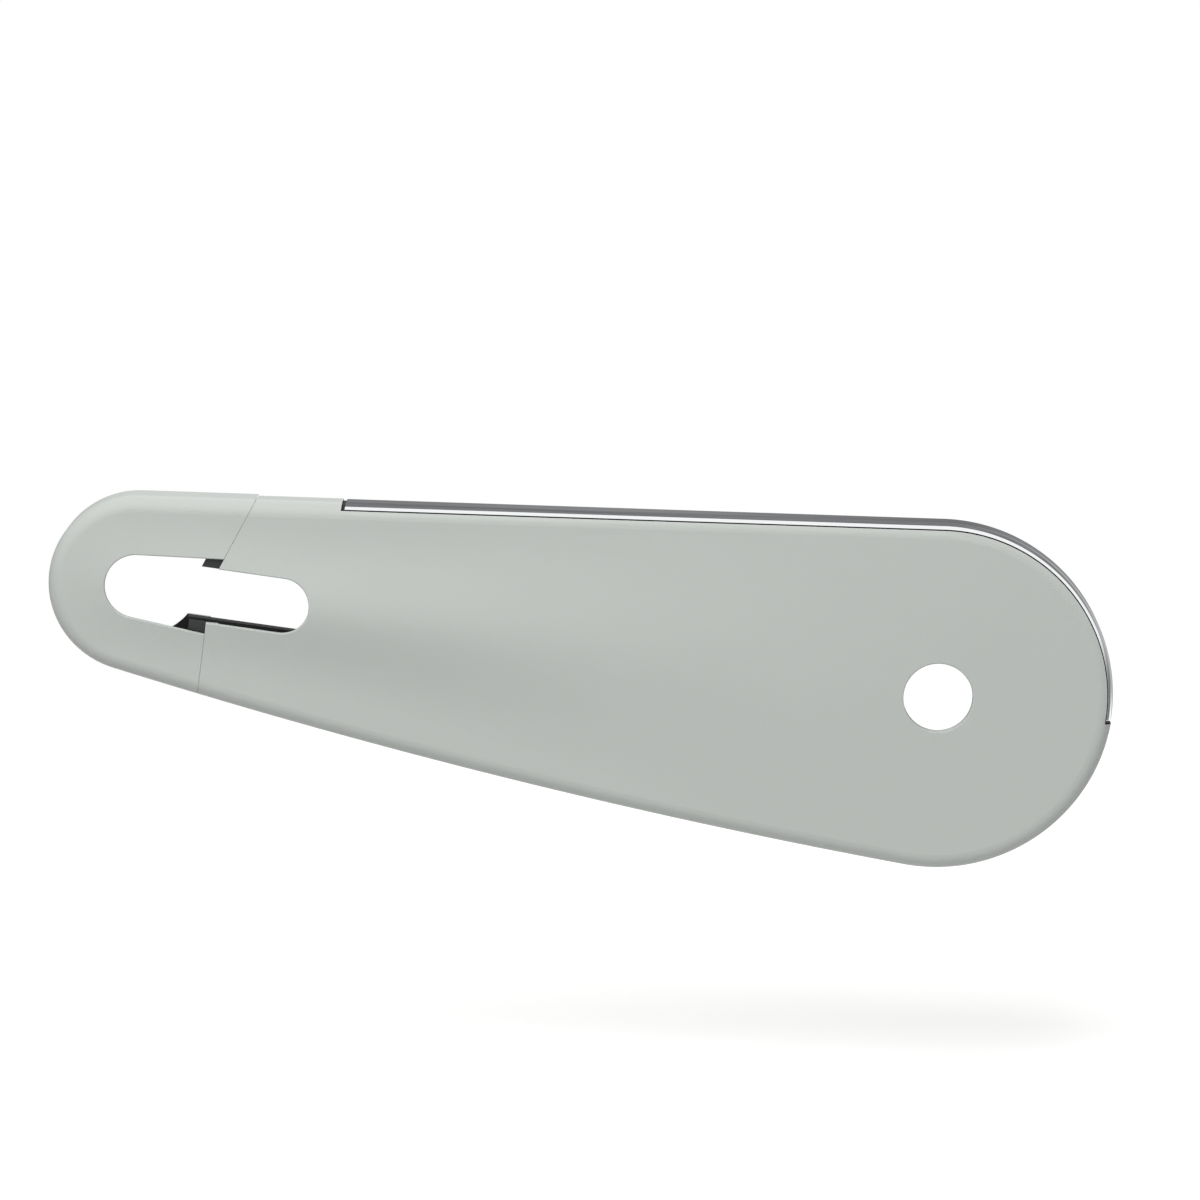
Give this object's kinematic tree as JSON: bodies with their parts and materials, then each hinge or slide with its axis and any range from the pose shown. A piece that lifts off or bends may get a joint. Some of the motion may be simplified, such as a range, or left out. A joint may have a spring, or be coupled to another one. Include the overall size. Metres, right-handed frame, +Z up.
{
  "type": "bicycle chain guard",
  "caption": "Closed teardrop chain case for a city bicycle, in pale satin plastic, with a crank hole, a slot for the chain stay, a rear end cap and a bright strip along the upper rim.",
  "frame": {"origin": "Crank axis, on the seat of the front bracket.", "axes": "+X forward along the bicycle, +Z up, and the outer face looks to -Y."},
  "size_m": [0.6896, 0.0696, 0.244],
  "materials": {
    "painted_plastic": "satin paint",
    "black_plastic": "moulded",
    "bright_strip": "mirror",
    "plated_steel": "zinc plated"
  },
  "bodies": {
    "root": {"outer_shell": "painted_plastic", "rear_cap": "painted_plastic", "trim_strip": "bright_strip", "inner_shell": "black_plastic", "shell_screws": "plated_steel", "cap_screws": "plated_steel", "front_bracket": "plated_steel", "front_bracket_screws": "plated_steel", "front_bracket_washers": "plated_steel", "front_bracket_nuts": "plated_steel", "rear_bracket": "plated_steel", "rear_bracket_screws": "plated_steel", "rear_bracket_washers": "plated_steel", "rear_bracket_nuts": "plated_steel"}
  },
  "joints": []
}
